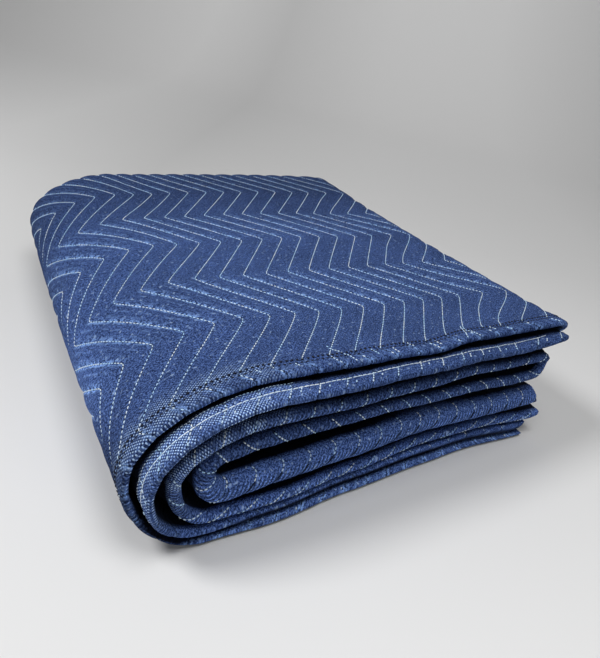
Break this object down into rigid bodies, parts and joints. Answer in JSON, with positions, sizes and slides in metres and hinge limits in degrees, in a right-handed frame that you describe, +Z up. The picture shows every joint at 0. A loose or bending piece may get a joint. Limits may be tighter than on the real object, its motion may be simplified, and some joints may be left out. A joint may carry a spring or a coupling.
{
  "type": "folded quilted moving blanket",
  "caption": "Blue quilted moving blanket with zigzag stitching, folded into a rectangular pad that lies flat, hemmed edges and loops at the front.",
  "frame": {"origin": "centre of the folded pad's footprint, on the surface it rests on", "axes": "+Z up; -Y toward the open front, where the hems and loops show; +X toward the free ends, so the outer fold is at -X"},
  "size_m": [0.489, 0.5178, 0.1506],
  "materials": {
    "quilted_cloth": "matte woven cotton in denim blue over a soft batting, with pale blue lockstitch in a zigzag"
  },
  "bodies": {
    "root": {"blanket_cloth": "quilted_cloth"}
  },
  "joints": []
}
